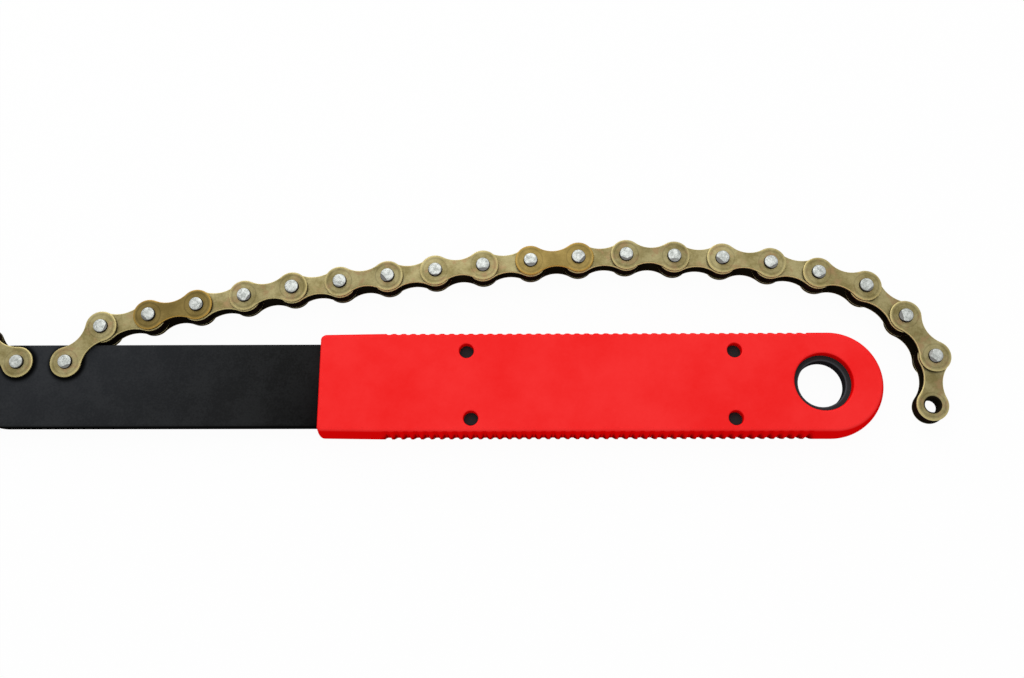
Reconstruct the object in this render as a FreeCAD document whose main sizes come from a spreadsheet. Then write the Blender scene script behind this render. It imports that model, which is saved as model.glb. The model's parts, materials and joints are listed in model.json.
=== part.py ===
import FreeCAD, Part
import os
from math import atan2, pi, sqrt
import Sketcher
from FreeCAD import Vector

# Bicycle chain whip: a flat steel bar with a moulded grip and two pieces of bushingless roller chain.
# The origin is the middle of the hang hole. X runs along the bar to the grip's round end, Y across
# the bar to the edge that carries the chains, and Z up through the flat faces. Millimetres, degrees.

doc = FreeCAD.newDocument("chain_whip")
sizes = doc.addObject("Spreadsheet::Sheet", "sizes")

SIZES = [
    ("bar_width", 21.8, "bar, across its faces"),
    ("bar_thickness", 4.0, "bar, sheet thickness"),
    ("bar_past_hole", 13.2, "hang hole centre to the bar's end in the grip"),
    ("bar_past_rivet", 12.6, "short chain rivet to the bar's free end"),
    ("bar_edge_break", 0.4, "bevel along the bar's outline"),
    ("hang_diameter", 12.1, "hang hole in the bar"),
    ("hang_bevel", 0.6, "bevel at both mouths of the hang hole"),
    ("chain_reach", 195.7, "hang hole centre to the long chain's rivet"),
    ("rivet_edge", 4.9, "rivet centres to the bar's edge"),
    ("grip_cover", 2.4, "grip over each face of the bar"),
    ("grip_front", 129.2, "hang hole centre to the grip's open end"),
    ("grip_past_hole", 15.9, "hang hole centre to the grip's round end"),
    ("grip_half", 13.85, "grip's half width at mid height"),
    ("grip_front_half", 13.6, "the same at the open end"),
    ("side_bulge", 1.1, "how far the sides stand out at mid height"),
    ("taper_length", 17.5, "open end to where the grip has its full width"),
    ("grip_corner", 1.3, "rounding of the open end's two corners"),
    ("grip_edge", 0.8, "rounding along the flat faces"),
    ("mouth_diameter", 15.0, "grip's mouth round the hang hole"),
    ("finger_pitch", 2.5, "from one side notch to the next"),
    ("finger_radius", 0.8, "radius of a side notch"),
    ("finger_depth", 1.1, "depth of a side notch at mid height"),
    ("finger_count", 44, "notches along one side"),
    ("finger_last", 4.0, "hang hole centre to the last notch"),
    ("mark_diameter", 3.8, "core pin marks through the grip's faces"),
    ("mark_front_upper", 91.35, "hang hole centre to the front mark on the chains' side"),
    ("mark_front_lower", 90.05, "the same on the other side"),
    ("mark_rear_upper", 22.35, "hang hole centre to the rear mark on the chains' side"),
    ("mark_rear_lower", 22.8, "the same on the other side"),
    ("mark_side_upper", 8.35, "centre line to the marks on the chains' side"),
    ("mark_side_lower", 9.4, "centre line to the marks on the other side"),
    ("pitch", 12.7, "chain pitch"),
    ("inner_gap", 2.4, "clear width between inner plates"),
    ("inner_thickness", 1.0, "inner plate"),
    ("inner_lobe", 4.15, "inner plate's end radius"),
    ("inner_waist", 2.4, "inner plate's half width at its waist"),
    ("outer_thickness", 1.0, "outer plate"),
    ("outer_lobe", 4.1, "outer plate's end radius"),
    ("outer_waist", 2.15, "outer plate's half width at its waist"),
    ("plate_play", 0.05, "air between an inner and an outer plate"),
    ("pin_radius", 1.8, "rivet pin"),
    ("pin_proud", 0.85, "pin beyond the outer plate"),
    ("pin_bevel", 0.3, "bevel at the pin's ends"),
    ("pin_play", 0.05, "air round a pin where it turns"),
    ("collar_wall", 0.65, "wall of the collar drawn from an inner plate"),
    ("collar_gap", 0.1, "air between the two collars under a roller"),
    ("funnel", 0.65, "flare where a collar leaves its plate"),
    ("roller_radius", 3.875, "roller"),
    ("roller_play", 0.1, "air between a roller and its collars"),
    ("roller_side_play", 0.05, "air between a roller and a plate"),
]

# How the chains lie, link by link from the bar: the direction of each link, turned from X towards Y.
LONG_LAY = [49.3, 14.6, 12.6, 11.3, 10.3, 6.9, 7.1, 6.9, 6.1, 5.7,
            4.0, 3.0, -2.2, -2.7, -6.0, -12.7, -17.1, -41.1, -58.8, -97.0]
SHORT_LAY = [148.5, 165.0, 184.0, 200.0]


def fill_sheet():
    row = 1
    lays = [("long_lay_%02d" % (i + 1), a, "long chain") for i, a in enumerate(LONG_LAY)]
    lays += [("short_lay_%02d" % (i + 1), a, "short chain") for i, a in enumerate(SHORT_LAY)]
    for alias, value, note in SIZES + lays:
        sizes.set("A%d" % row, note)
        sizes.set("B%d" % row, str(value))
        sizes.setAlias("B%d" % row, alias)
        row += 1
    doc.recompute()


def new_body(name):
    return doc.addObject("PartDesign::Body", name)


def new_sketch(body, name, plane="XY_Plane"):
    sketch = body.newObject("Sketcher::SketchObject", name)
    for feature in body.Origin.OriginFeatures:
        if feature.Role == plane:
            sketch.AttachmentSupport = [(feature, "")]
    sketch.MapMode = "FlatFace"
    return sketch


def bind(target, rules):
    """Ties properties or sketch constraints to the sheet's cells."""
    for path, rule in rules.items():
        target.setExpression(path, rule)


def named(sketch, name, *args):
    """Adds one dimension to a sketch and ties it to a rule."""
    rule = args[-1]
    index = sketch.addConstraint(Sketcher.Constraint(*args[:-1]))
    sketch.renameConstraint(index, name)
    sketch.setExpression("Constraints." + name, rule)


def arc(centre, radius, start, end):
    circle = Part.Circle(Vector(centre[0], centre[1], 0), Vector(0, 0, 1), radius)
    return Part.ArcOfCircle(circle, start, end)


def add_circle(sketch, name, x, y, radius, rules):
    """A circle whose centre and radius follow rules; a centre with no rule stays on its axis."""
    index = sketch.addGeometry(Part.Circle(Vector(x, y, 0), Vector(0, 0, 1), radius))
    if rules["x"] is None and rules["y"] is None:
        sketch.addConstraint(Sketcher.Constraint("Coincident", index, 3, -1, 1))
    else:
        if rules["y"] is None:
            sketch.addConstraint(Sketcher.Constraint("PointOnObject", index, 3, -1))
        else:
            named(sketch, name + "_y", "DistanceY", -1, 1, index, 3, y, rules["y"])
        named(sketch, name + "_x", "DistanceX", -1, 1, index, 3, x, rules["x"])
    named(sketch, name + "_r", "Radius", index, radius, rules["r"])
    return index


def pad(body, name, sketch, length, both_ways=False):
    feature = body.newObject("PartDesign::Pad", name)
    feature.Profile = sketch
    feature.SideType = "Symmetric" if both_ways else "One side"
    feature.setExpression("Length", length)
    sketch.Visibility = False
    return feature


def pocket_through(body, name, sketch):
    feature = body.newObject("PartDesign::Pocket", name)
    feature.Profile = sketch
    feature.SideType = "Symmetric"
    feature.Type = "ThroughAll"
    return feature


def value(alias):
    return float(sizes.get(alias))


SMALL = 0.001


def is_circle(edge, radius):
    return isinstance(edge.Curve, Part.Circle) and abs(edge.Curve.Radius - radius) < SMALL


def edge_names(shape, wanted):
    return ["Edge%d" % (i + 1) for i, edge in enumerate(shape.Edges) if wanted(edge)]


def bevel(body, name, base, wanted, size):
    feature = body.newObject("PartDesign::Chamfer", name)
    feature.Base = (base, edge_names(base.Shape, wanted))
    feature.setExpression("Size", size)
    return feature


# Heights of the chain's layers above its middle plane, as rules on the sheet.
INNER_OUT = "(sizes.inner_gap / 2 + sizes.inner_thickness)"
OUTER_IN = "(%s + sizes.plate_play)" % INNER_OUT
OUTER_OUT = "(%s + sizes.outer_thickness)" % OUTER_IN
BORE = "(sizes.pin_radius + sizes.pin_play)"
COLLAR = "(%s + sizes.collar_wall)" % BORE

# Places on the bar and the grip.
RIVET_Y = "(sizes.bar_width / 2 - sizes.rivet_edge)"
BAR_LEFT = "-(sizes.chain_reach + sizes.pitch + sizes.bar_past_rivet - sizes.bar_width / 2)"
BAR_RIGHT = "(sizes.bar_past_hole - sizes.bar_width / 2)"
GRIP_HEIGHT = "(sizes.bar_thickness / 2 + sizes.grip_cover)"
GRIP_TURN = "(sizes.grip_past_hole - sizes.grip_half)"


def slot_sketch(body, name):
    """The bar's outline: two straight edges and a full round at each end."""
    half = value("bar_width") / 2
    left = -(value("chain_reach") + value("pitch") + value("bar_past_rivet") - half)
    right = value("bar_past_hole") - half
    sketch = new_sketch(body, name)
    free_end = sketch.addGeometry(arc((left, 0), half, 0.5 * pi, 1.5 * pi))
    held_end = sketch.addGeometry(arc((right, 0), half, -0.5 * pi, 0.5 * pi))
    top = sketch.addGeometry(Part.LineSegment(Vector(left, half, 0), Vector(right, half, 0)))
    foot = sketch.addGeometry(Part.LineSegment(Vector(left, -half, 0), Vector(right, -half, 0)))
    sketch.addConstraint(Sketcher.Constraint("Tangent", free_end, 1, top, 1))
    sketch.addConstraint(Sketcher.Constraint("Tangent", top, 2, held_end, 2))
    sketch.addConstraint(Sketcher.Constraint("Tangent", held_end, 1, foot, 2))
    sketch.addConstraint(Sketcher.Constraint("Tangent", foot, 1, free_end, 2))
    sketch.addConstraint(Sketcher.Constraint("Horizontal", top))
    sketch.addConstraint(Sketcher.Constraint("PointOnObject", free_end, 3, -1))
    sketch.addConstraint(Sketcher.Constraint("PointOnObject", held_end, 3, -1))
    named(sketch, "end_radius", "Radius", free_end, half, "sizes.bar_width / 2")
    named(sketch, "free_centre", "DistanceX", -1, 1, free_end, 3, left, BAR_LEFT)
    named(sketch, "held_centre", "DistanceX", -1, 1, held_end, 3, right, BAR_RIGHT)
    return sketch


def make_bar():
    body = new_body("bar")
    pad(body, "strip", slot_sketch(body, "strip_outline"), "sizes.bar_thickness", both_ways=True)
    doc.recompute()
    holes = new_sketch(body, "bar_holes")
    bore = value("pin_radius") + value("pin_play")
    rivet_y = value("bar_width") / 2 - value("rivet_edge")
    first = -value("chain_reach")
    second = first - value("pitch")
    add_circle(holes, "hang", 0, 0, value("hang_diameter") / 2,
               {"x": None, "y": None, "r": "sizes.hang_diameter / 2"})
    add_circle(holes, "long_rivet", first, rivet_y, bore,
               {"x": "-sizes.chain_reach", "y": RIVET_Y, "r": BORE})
    add_circle(holes, "short_rivet", second, rivet_y, bore,
               {"x": "-sizes.chain_reach - sizes.pitch", "y": RIVET_Y, "r": BORE})
    drilled = pocket_through(body, "drilled", holes)
    doc.recompute()

    def on_hang_hole(edge):
        return is_circle(edge, value("hang_diameter") / 2)

    mouths = bevel(body, "hang_bevels", drilled, on_hang_hole, "sizes.hang_bevel")
    doc.recompute()
    reach = value("bar_width") / 2

    def on_outline(edge):
        if abs(edge.BoundBox.ZMax - edge.BoundBox.ZMin) > SMALL:
            return False
        return is_circle(edge, reach) or abs(abs(edge.CenterOfMass.y) - reach) < SMALL

    bevel(body, "edge_bevels", mouths, on_outline, "sizes.bar_edge_break")
    return body


def grip_section(body, name, half_alias, place):
    """The grip's cross-section: flat faces, bulging sides and rounded corners between them."""
    half = value(half_alias)
    height = value("bar_thickness") / 2 + value("grip_cover")
    bulge = value("side_bulge")
    corner = value("grip_edge")
    side = (height ** 2 + bulge ** 2) / (2 * bulge)
    offset = half - side
    corner_x = offset + sqrt((side - corner) ** 2 - (height - corner) ** 2)
    lift = atan2(height - corner, corner_x - offset)
    sketch = new_sketch(body, name, "YZ_Plane")
    sketch.setExpression("AttachmentOffset.Base.z", place)
    right = sketch.addGeometry(arc((offset, 0), side, -lift, lift))
    left = sketch.addGeometry(arc((-offset, 0), side, pi - lift, pi + lift))
    top = sketch.addGeometry(Part.LineSegment(Vector(corner_x, height, 0), Vector(-corner_x, height, 0)))
    foot = sketch.addGeometry(Part.LineSegment(Vector(-corner_x, -height, 0), Vector(corner_x, -height, 0)))
    inset = height - corner
    corners = [
        (sketch.addGeometry(arc((corner_x, inset), corner, lift, 0.5 * pi)), right, 2, top, 1),
        (sketch.addGeometry(arc((-corner_x, inset), corner, 0.5 * pi, pi - lift)), top, 2, left, 1),
        (sketch.addGeometry(arc((-corner_x, -inset), corner, pi + lift, 1.5 * pi)), left, 2, foot, 1),
        (sketch.addGeometry(arc((corner_x, -inset), corner, 1.5 * pi, 2 * pi - lift)), foot, 2, right, 1),
    ]
    for index, before, before_end, after, after_end in corners:
        sketch.addConstraint(Sketcher.Constraint("Tangent", before, before_end, index, 1))
        sketch.addConstraint(Sketcher.Constraint("Tangent", index, 2, after, after_end))
    for index, other in ((corners[1][0], 1), (corners[2][0], 1), (corners[3][0], 1)):
        sketch.addConstraint(Sketcher.Constraint("Equal", corners[0][0], index))
    sketch.addConstraint(Sketcher.Constraint("Horizontal", top))
    sketch.addConstraint(Sketcher.Constraint("Horizontal", foot))
    sketch.addConstraint(Sketcher.Constraint("PointOnObject", right, 3, -1))
    sketch.addConstraint(Sketcher.Constraint("PointOnObject", left, 3, -1))
    sketch.addConstraint(Sketcher.Constraint("Equal", right, left))
    side_rule = "((%s ^ 2 + sizes.side_bulge ^ 2) / (2 * sizes.side_bulge))" % GRIP_HEIGHT
    named(sketch, "side", "Radius", right, side, side_rule)
    named(sketch, "corner", "Radius", corners[0][0], corner, "sizes.grip_edge")
    named(sketch, "right_side", "DistanceX", -1, 1, right, 3, offset,
          "sizes.%s - %s" % (half_alias, side_rule))
    named(sketch, "left_side", "DistanceX", -1, 1, left, 3, -offset,
          "%s - sizes.%s" % (side_rule, half_alias))
    named(sketch, "upper", "DistanceY", -1, 1, top, 1, height, GRIP_HEIGHT)
    named(sketch, "lower", "DistanceY", -1, 1, foot, 1, -height, "-" + GRIP_HEIGHT)
    return sketch


def grip_turn_section(body):
    """Half of the full cross-section, which turns about the grip's round end."""
    half = value("grip_half")
    height = value("bar_thickness") / 2 + value("grip_cover")
    bulge = value("side_bulge")
    corner = value("grip_edge")
    side = (height ** 2 + bulge ** 2) / (2 * bulge)
    offset = half - side
    corner_x = offset + sqrt((side - corner) ** 2 - (height - corner) ** 2)
    lift = atan2(height - corner, corner_x - offset)
    inset = height - corner
    sketch = new_sketch(body, "turn_section", "XZ_Plane")
    sketch.setExpression("AttachmentOffset.Base.x", GRIP_TURN)
    bulging = sketch.addGeometry(arc((offset, 0), side, -lift, lift))
    upper = sketch.addGeometry(arc((corner_x, inset), corner, lift, 0.5 * pi))
    top = sketch.addGeometry(Part.LineSegment(Vector(corner_x, height, 0), Vector(0, height, 0)))
    middle = sketch.addGeometry(Part.LineSegment(Vector(0, height, 0), Vector(0, -height, 0)))
    foot = sketch.addGeometry(Part.LineSegment(Vector(0, -height, 0), Vector(corner_x, -height, 0)))
    lower = sketch.addGeometry(arc((corner_x, -inset), corner, 1.5 * pi, 2 * pi - lift))
    sketch.addConstraint(Sketcher.Constraint("Tangent", bulging, 2, upper, 1))
    sketch.addConstraint(Sketcher.Constraint("Tangent", upper, 2, top, 1))
    sketch.addConstraint(Sketcher.Constraint("Coincident", top, 2, middle, 1))
    sketch.addConstraint(Sketcher.Constraint("Coincident", middle, 2, foot, 1))
    sketch.addConstraint(Sketcher.Constraint("Tangent", foot, 2, lower, 1))
    sketch.addConstraint(Sketcher.Constraint("Tangent", lower, 2, bulging, 1))
    sketch.addConstraint(Sketcher.Constraint("PointOnObject", middle, 1, -2))
    sketch.addConstraint(Sketcher.Constraint("PointOnObject", middle, 2, -2))
    sketch.addConstraint(Sketcher.Constraint("Horizontal", top))
    sketch.addConstraint(Sketcher.Constraint("Horizontal", foot))
    sketch.addConstraint(Sketcher.Constraint("PointOnObject", bulging, 3, -1))
    sketch.addConstraint(Sketcher.Constraint("Equal", upper, lower))
    side_rule = "((%s ^ 2 + sizes.side_bulge ^ 2) / (2 * sizes.side_bulge))" % GRIP_HEIGHT
    named(sketch, "side", "Radius", bulging, side, side_rule)
    named(sketch, "corner", "Radius", upper, corner, "sizes.grip_edge")
    named(sketch, "side_place", "DistanceX", -1, 1, bulging, 3, offset, "sizes.grip_half - " + side_rule)
    named(sketch, "upper_face", "DistanceY", -1, 1, top, 1, height, GRIP_HEIGHT)
    named(sketch, "lower_face", "DistanceY", -1, 1, foot, 2, -height, "-" + GRIP_HEIGHT)
    return sketch


def corner_sketch(body):
    """What is cut away outside the two rounded corners of the grip's open end."""
    radius = value("grip_corner")
    left = -value("grip_front")
    sketch = new_sketch(body, "corner_cuts")
    for side, sign in (("upper", 1), ("lower", -1)):
        width = sign * value("grip_front_half")
        level = width - sign * radius
        past = width + sign * radius
        inside = left + radius
        outside = left - radius
        angles = (0.5 * pi, pi) if sign > 0 else (pi, 1.5 * pi)
        turn = sketch.addGeometry(arc((inside, level), radius, *angles))
        top_end, left_end = (1, 2) if sign > 0 else (2, 1)
        lines = [
            Part.LineSegment(Vector(left, level, 0), Vector(outside, level, 0)),
            Part.LineSegment(Vector(outside, level, 0), Vector(outside, past, 0)),
            Part.LineSegment(Vector(outside, past, 0), Vector(inside, past, 0)),
            Part.LineSegment(Vector(inside, past, 0), Vector(inside, width, 0)),
        ]
        edges = [sketch.addGeometry(line) for line in lines]
        sketch.addConstraint(Sketcher.Constraint("Coincident", turn, left_end, edges[0], 1))
        for before, after in zip(edges, edges[1:]):
            sketch.addConstraint(Sketcher.Constraint("Coincident", before, 2, after, 1))
        sketch.addConstraint(Sketcher.Constraint("Coincident", edges[3], 2, turn, top_end))
        sketch.addConstraint(Sketcher.Constraint("Horizontal", edges[0]))
        sketch.addConstraint(Sketcher.Constraint("Vertical", edges[1]))
        sketch.addConstraint(Sketcher.Constraint("Horizontal", edges[2]))
        sketch.addConstraint(Sketcher.Constraint("Vertical", edges[3]))
        sketch.addConstraint(Sketcher.Constraint("Horizontal", turn, left_end, turn, 3))
        sketch.addConstraint(Sketcher.Constraint("Vertical", turn, top_end, turn, 3))
        named(sketch, side + "_radius", "Radius", turn, radius, "sizes.grip_corner")
        named(sketch, side + "_x", "DistanceX", -1, 1, turn, 3, inside,
              "sizes.grip_corner - sizes.grip_front")
        named(sketch, side + "_y", "DistanceY", -1, 1, turn, 3, level,
              "%d * (sizes.grip_front_half - sizes.grip_corner)" % sign)
        named(sketch, side + "_past_x", "DistanceX", edges[0], 2, edges[0], 1, radius, "sizes.grip_corner")
        named(sketch, side + "_past_y", "DistanceY", edges[3], 2 if sign > 0 else 1,
              edges[3], 1 if sign > 0 else 2, radius, "sizes.grip_corner")
    return sketch


def make_grip():
    body = new_body("grip")
    front = grip_section(body, "front_section", "grip_front_half", "-sizes.grip_front")
    full_place = "-sizes.grip_front + sizes.taper_length"
    full = grip_section(body, "full_section", "grip_half", full_place)
    doc.recompute()
    taper = body.newObject("PartDesign::AdditiveLoft", "taper")
    taper.Profile = front
    taper.Sections = [full]
    taper.Ruled = True
    doc.recompute()
    run = grip_section(body, "run_section", "grip_half", full_place)
    pad(body, "run", run, "%s + sizes.grip_front - sizes.taper_length" % GRIP_TURN)
    doc.recompute()
    turn_sketch = grip_turn_section(body)
    doc.recompute()
    turn = body.newObject("PartDesign::Revolution", "round_end")
    turn.Profile = turn_sketch
    turn.ReferenceAxis = (turn_sketch, ["V_Axis"])
    turn.Midplane = True
    turn.Angle = 180
    doc.recompute()

    pocket_through(body, "round_corners", corner_sketch(body))
    doc.recompute()

    cavity = body.newObject("PartDesign::Pocket", "bar_seat")
    cavity.Profile = slot_sketch(body, "seat_outline")
    cavity.SideType = "Symmetric"
    cavity.setExpression("Length", "sizes.bar_thickness")
    doc.recompute()

    openings = new_sketch(body, "grip_openings")
    add_circle(openings, "mouth", 0, 0, value("mouth_diameter") / 2,
               {"x": None, "y": None, "r": "sizes.mouth_diameter / 2"})
    for place in ("front", "rear"):
        for side, sign in (("upper", 1), ("lower", -1)):
            along, off = "mark_%s_%s" % (place, side), "mark_side_" + side
            add_circle(openings, "%s_%s_mark" % (place, side), -value(along), sign * value(off),
                       value("mark_diameter") / 2,
                       {"x": "-sizes." + along, "y": "%d * sizes.%s" % (sign, off),
                        "r": "sizes.mark_diameter / 2"})
    pocket_through(body, "openings", openings)
    doc.recompute()

    notch = new_sketch(body, "notch_pair")
    centre = value("grip_half") + value("finger_radius") - value("finger_depth")
    for side, sign in (("upper", 1), ("lower", -1)):
        add_circle(notch, side + "_notch", -value("finger_last"), sign * centre, value("finger_radius"),
                   {"x": "-sizes.finger_last",
                    "y": "%d * (sizes.grip_half + sizes.finger_radius - sizes.finger_depth)" % sign,
                    "r": "sizes.finger_radius"})
    first_pair = pocket_through(body, "first_notches", notch)
    doc.recompute()
    row = body.newObject("PartDesign::LinearPattern", "notches")
    row.Originals = [first_pair]
    row.Direction = (body.Origin.OriginFeatures[0], [""])
    row.Reversed = True
    row.setExpression("Occurrences", "sizes.finger_count")
    row.setExpression("Length", "(sizes.finger_count - 1) * sizes.finger_pitch")
    body.Tip = row
    doc.recompute()
    return body


def plate_sketch(body, name, kind, height, hole, hole_rule):
    """A link plate's outline, two round ends and a drawn-in waist, with its two pin holes."""
    lobe = value(kind + "_lobe")
    waist = value(kind + "_waist")
    pitch = value("pitch")
    hollow = ((pitch / 2) ** 2 + waist ** 2 - lobe ** 2) / (2 * (lobe - waist))
    reach = waist + hollow
    angle = atan2(reach, pitch / 2)
    spread = 0.5 * pi - angle
    sketch = new_sketch(body, name)
    sketch.setExpression("AttachmentOffset.Base.z", height)
    start = sketch.addGeometry(arc((0, 0), lobe, angle, 2 * pi - angle))
    end = sketch.addGeometry(arc((pitch, 0), lobe, angle - pi, pi - angle))
    upper = sketch.addGeometry(arc((pitch / 2, reach), hollow, 1.5 * pi - spread, 1.5 * pi + spread))
    lower = sketch.addGeometry(arc((pitch / 2, -reach), hollow, 0.5 * pi - spread, 0.5 * pi + spread))
    sketch.addConstraint(Sketcher.Constraint("Coincident", start, 3, -1, 1))
    sketch.addConstraint(Sketcher.Constraint("PointOnObject", end, 3, -1))
    sketch.addConstraint(Sketcher.Constraint("Tangent", start, 1, upper, 1))
    sketch.addConstraint(Sketcher.Constraint("Tangent", upper, 2, end, 2))
    sketch.addConstraint(Sketcher.Constraint("Tangent", end, 1, lower, 1))
    sketch.addConstraint(Sketcher.Constraint("Tangent", lower, 2, start, 2))
    sketch.addConstraint(Sketcher.Constraint("Equal", start, end))
    sketch.addConstraint(Sketcher.Constraint("Equal", upper, lower))
    named(sketch, "lobe", "Radius", start, lobe, "sizes.%s_lobe" % kind)
    named(sketch, "plate_pitch", "DistanceX", -1, 1, end, 3, pitch, "sizes.pitch")
    waist_rule = ("sizes.{0}_waist + ((sizes.pitch / 2) ^ 2 + sizes.{0}_waist ^ 2 - sizes.{0}_lobe ^ 2)"
                  " / (2 * (sizes.{0}_lobe - sizes.{0}_waist))").format(kind)
    named(sketch, "waist", "DistanceY", -1, 1, upper, 3, reach, waist_rule)
    add_circle(sketch, "start_hole", 0, 0, hole, {"x": None, "y": None, "r": hole_rule})
    add_circle(sketch, "end_hole", pitch, 0, hole, {"x": "sizes.pitch", "y": None, "r": hole_rule})
    return sketch


def make_outer_plate():
    body = new_body("outer_plate")
    outline = plate_sketch(body, "outer_outline", "outer", OUTER_IN, value("pin_radius"), "sizes.pin_radius")
    pad(body, "outer_sheet", outline, "sizes.outer_thickness")
    return body


def make_inner_plate():
    """An inner plate with the two collars that are drawn from it and carry its rollers."""
    body = new_body("inner_plate")
    bore = value("pin_radius") + value("pin_play")
    outline = plate_sketch(body, "inner_outline", "inner", "sizes.inner_gap / 2", bore, BORE)
    pad(body, "inner_sheet", outline, "sizes.inner_thickness")
    doc.recompute()
    rings = new_sketch(body, "collar_rings")
    rings.setExpression("AttachmentOffset.Base.z", "sizes.inner_gap / 2")
    for name, x, rule in (("start", 0, None), ("end", value("pitch"), "sizes.pitch")):
        add_circle(rings, name + "_outside", x, 0, bore + value("collar_wall"),
                   {"x": rule, "y": None, "r": COLLAR})
        add_circle(rings, name + "_bore", x, 0, bore, {"x": rule, "y": None, "r": BORE})
    collars = pad(body, "collars", rings, "(sizes.inner_gap - sizes.collar_gap) / 2")
    collars.Reversed = True
    doc.recompute()
    outside = value("inner_gap") / 2 + value("inner_thickness")

    def at_outer_mouth(edge):
        return is_circle(edge, bore) and abs(edge.BoundBox.ZMax - outside) < SMALL

    bevel(body, "funnels", collars, at_outer_mouth, "sizes.funnel")
    return body


def make_pin():
    body = new_body("rivet_pin")
    sketch = new_sketch(body, "pin_circle")
    add_circle(sketch, "pin", 0, 0, value("pin_radius"), {"x": None, "y": None, "r": "sizes.pin_radius"})
    shank = pad(body, "shank", sketch, "2 * (%s + sizes.pin_proud)" % OUTER_OUT, both_ways=True)
    doc.recompute()

    def at_an_end(edge):
        return is_circle(edge, value("pin_radius"))

    bevel(body, "pin_ends", shank, at_an_end, "sizes.pin_bevel")
    return body


def make_roller():
    body = new_body("roller")
    sketch = new_sketch(body, "roller_rings")
    inside = value("pin_radius") + value("pin_play") + value("collar_wall") + value("roller_play")
    add_circle(sketch, "outside", 0, 0, value("roller_radius"),
               {"x": None, "y": None, "r": "sizes.roller_radius"})
    add_circle(sketch, "inside", 0, 0, inside,
               {"x": None, "y": None, "r": "%s + sizes.roller_play" % COLLAR})
    pad(body, "barrel", sketch, "sizes.inner_gap - 2 * sizes.roller_side_play", both_ways=True)
    return body


def far_side(name, source):
    """The same plate on the other side of the chain's middle plane."""
    mirrored = doc.addObject("Part::Mirroring", name)
    mirrored.Source = source
    mirrored.Normal = Vector(0, 0, 1)
    return mirrored


def set_down(name, parts, place, lay=None):
    """A named piece of the part: solids brought to one place, turned to their link's direction."""
    group = doc.addObject("Part::Compound", name)
    group.Label = name
    group.Links = parts
    bind(group, {"Placement.Base.x": place[0], "Placement.Base.y": place[1]})
    if lay:
        group.setExpression("Placement.Rotation.Angle", lay)
    return group


def run_chain(prefix, count, start, plates):
    """Lays one chain, link after link, from its rivet in the bar; odd links are outer links."""
    placed = []
    place = start
    for number in range(1, count + 1):
        tag = "%s_%%s_%02d" % (prefix, number)
        lay = "sizes.%s_lay_%02d" % (prefix, number)
        after = (place[0] + " + sizes.pitch * cos(%s)" % lay, place[1] + " + sizes.pitch * sin(%s)" % lay)
        if number % 2 and prefix == "long":
            placed.append(set_down(tag % "outer_plates", plates["outer"], place, lay))
            placed.append(set_down(tag % "pins", plates["pins"], place, lay))
        elif number % 2:
            placed.append(set_down(tag % "outer_link", plates["outer"] + plates["pins"], place, lay))
        else:
            placed.append(set_down(tag % "inner_plates", plates["inner"], place, lay))
            placed.append(set_down(tag % "roller", plates["roller"], place))
            placed.append(set_down("%s_roller_%02d" % (prefix, number + 1), plates["roller"], after))
        place = after
    return placed


def check_and_write(nodes):
    doc.recompute()
    for item in doc.Objects:
        if "Invalid" in item.State or "Error" in item.State:
            raise RuntimeError("%s is in state %s" % (item.Name, item.State))
    os.makedirs("parts", exist_ok=True)
    for node in nodes:
        shape = node.Shape
        if shape.isNull() or not shape.isValid() or not shape.Solids:
            raise RuntimeError("%s has no sound shape" % node.Label)
        shape.exportStep("parts/%s.step" % node.Label)
        print("%-24s %2d solids  %10.2f mm3" % (node.Label, len(shape.Solids), shape.Volume))
    print("%d pieces written" % len(nodes))


fill_sheet()
bar = make_bar()
grip = make_grip()
outer_plate = make_outer_plate()
inner_plate = make_inner_plate()
rivet_pin = make_pin()
roller = make_roller()
doc.recompute()

far_pin = set_down("far_pin", [rivet_pin], ("sizes.pitch", "0"))
link_parts = {
    "outer": [outer_plate, far_side("outer_plate_below", outer_plate)],
    "inner": [inner_plate, far_side("inner_plate_below", inner_plate)],
    "pins": [rivet_pin, far_pin],
    "roller": [roller],
}
doc.recompute()
long_chain = run_chain("long", len(LONG_LAY), ("-sizes.chain_reach", RIVET_Y), link_parts)
short_chain = run_chain("short", len(SHORT_LAY), ("-sizes.chain_reach - sizes.pitch", RIVET_Y), link_parts)
check_and_write([bar, grip] + long_chain + short_chain)
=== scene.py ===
import json
import random
from math import atan2, cos, pi, radians, sin, sqrt

import bmesh
import bpy
from mathutils import Matrix, Vector

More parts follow.
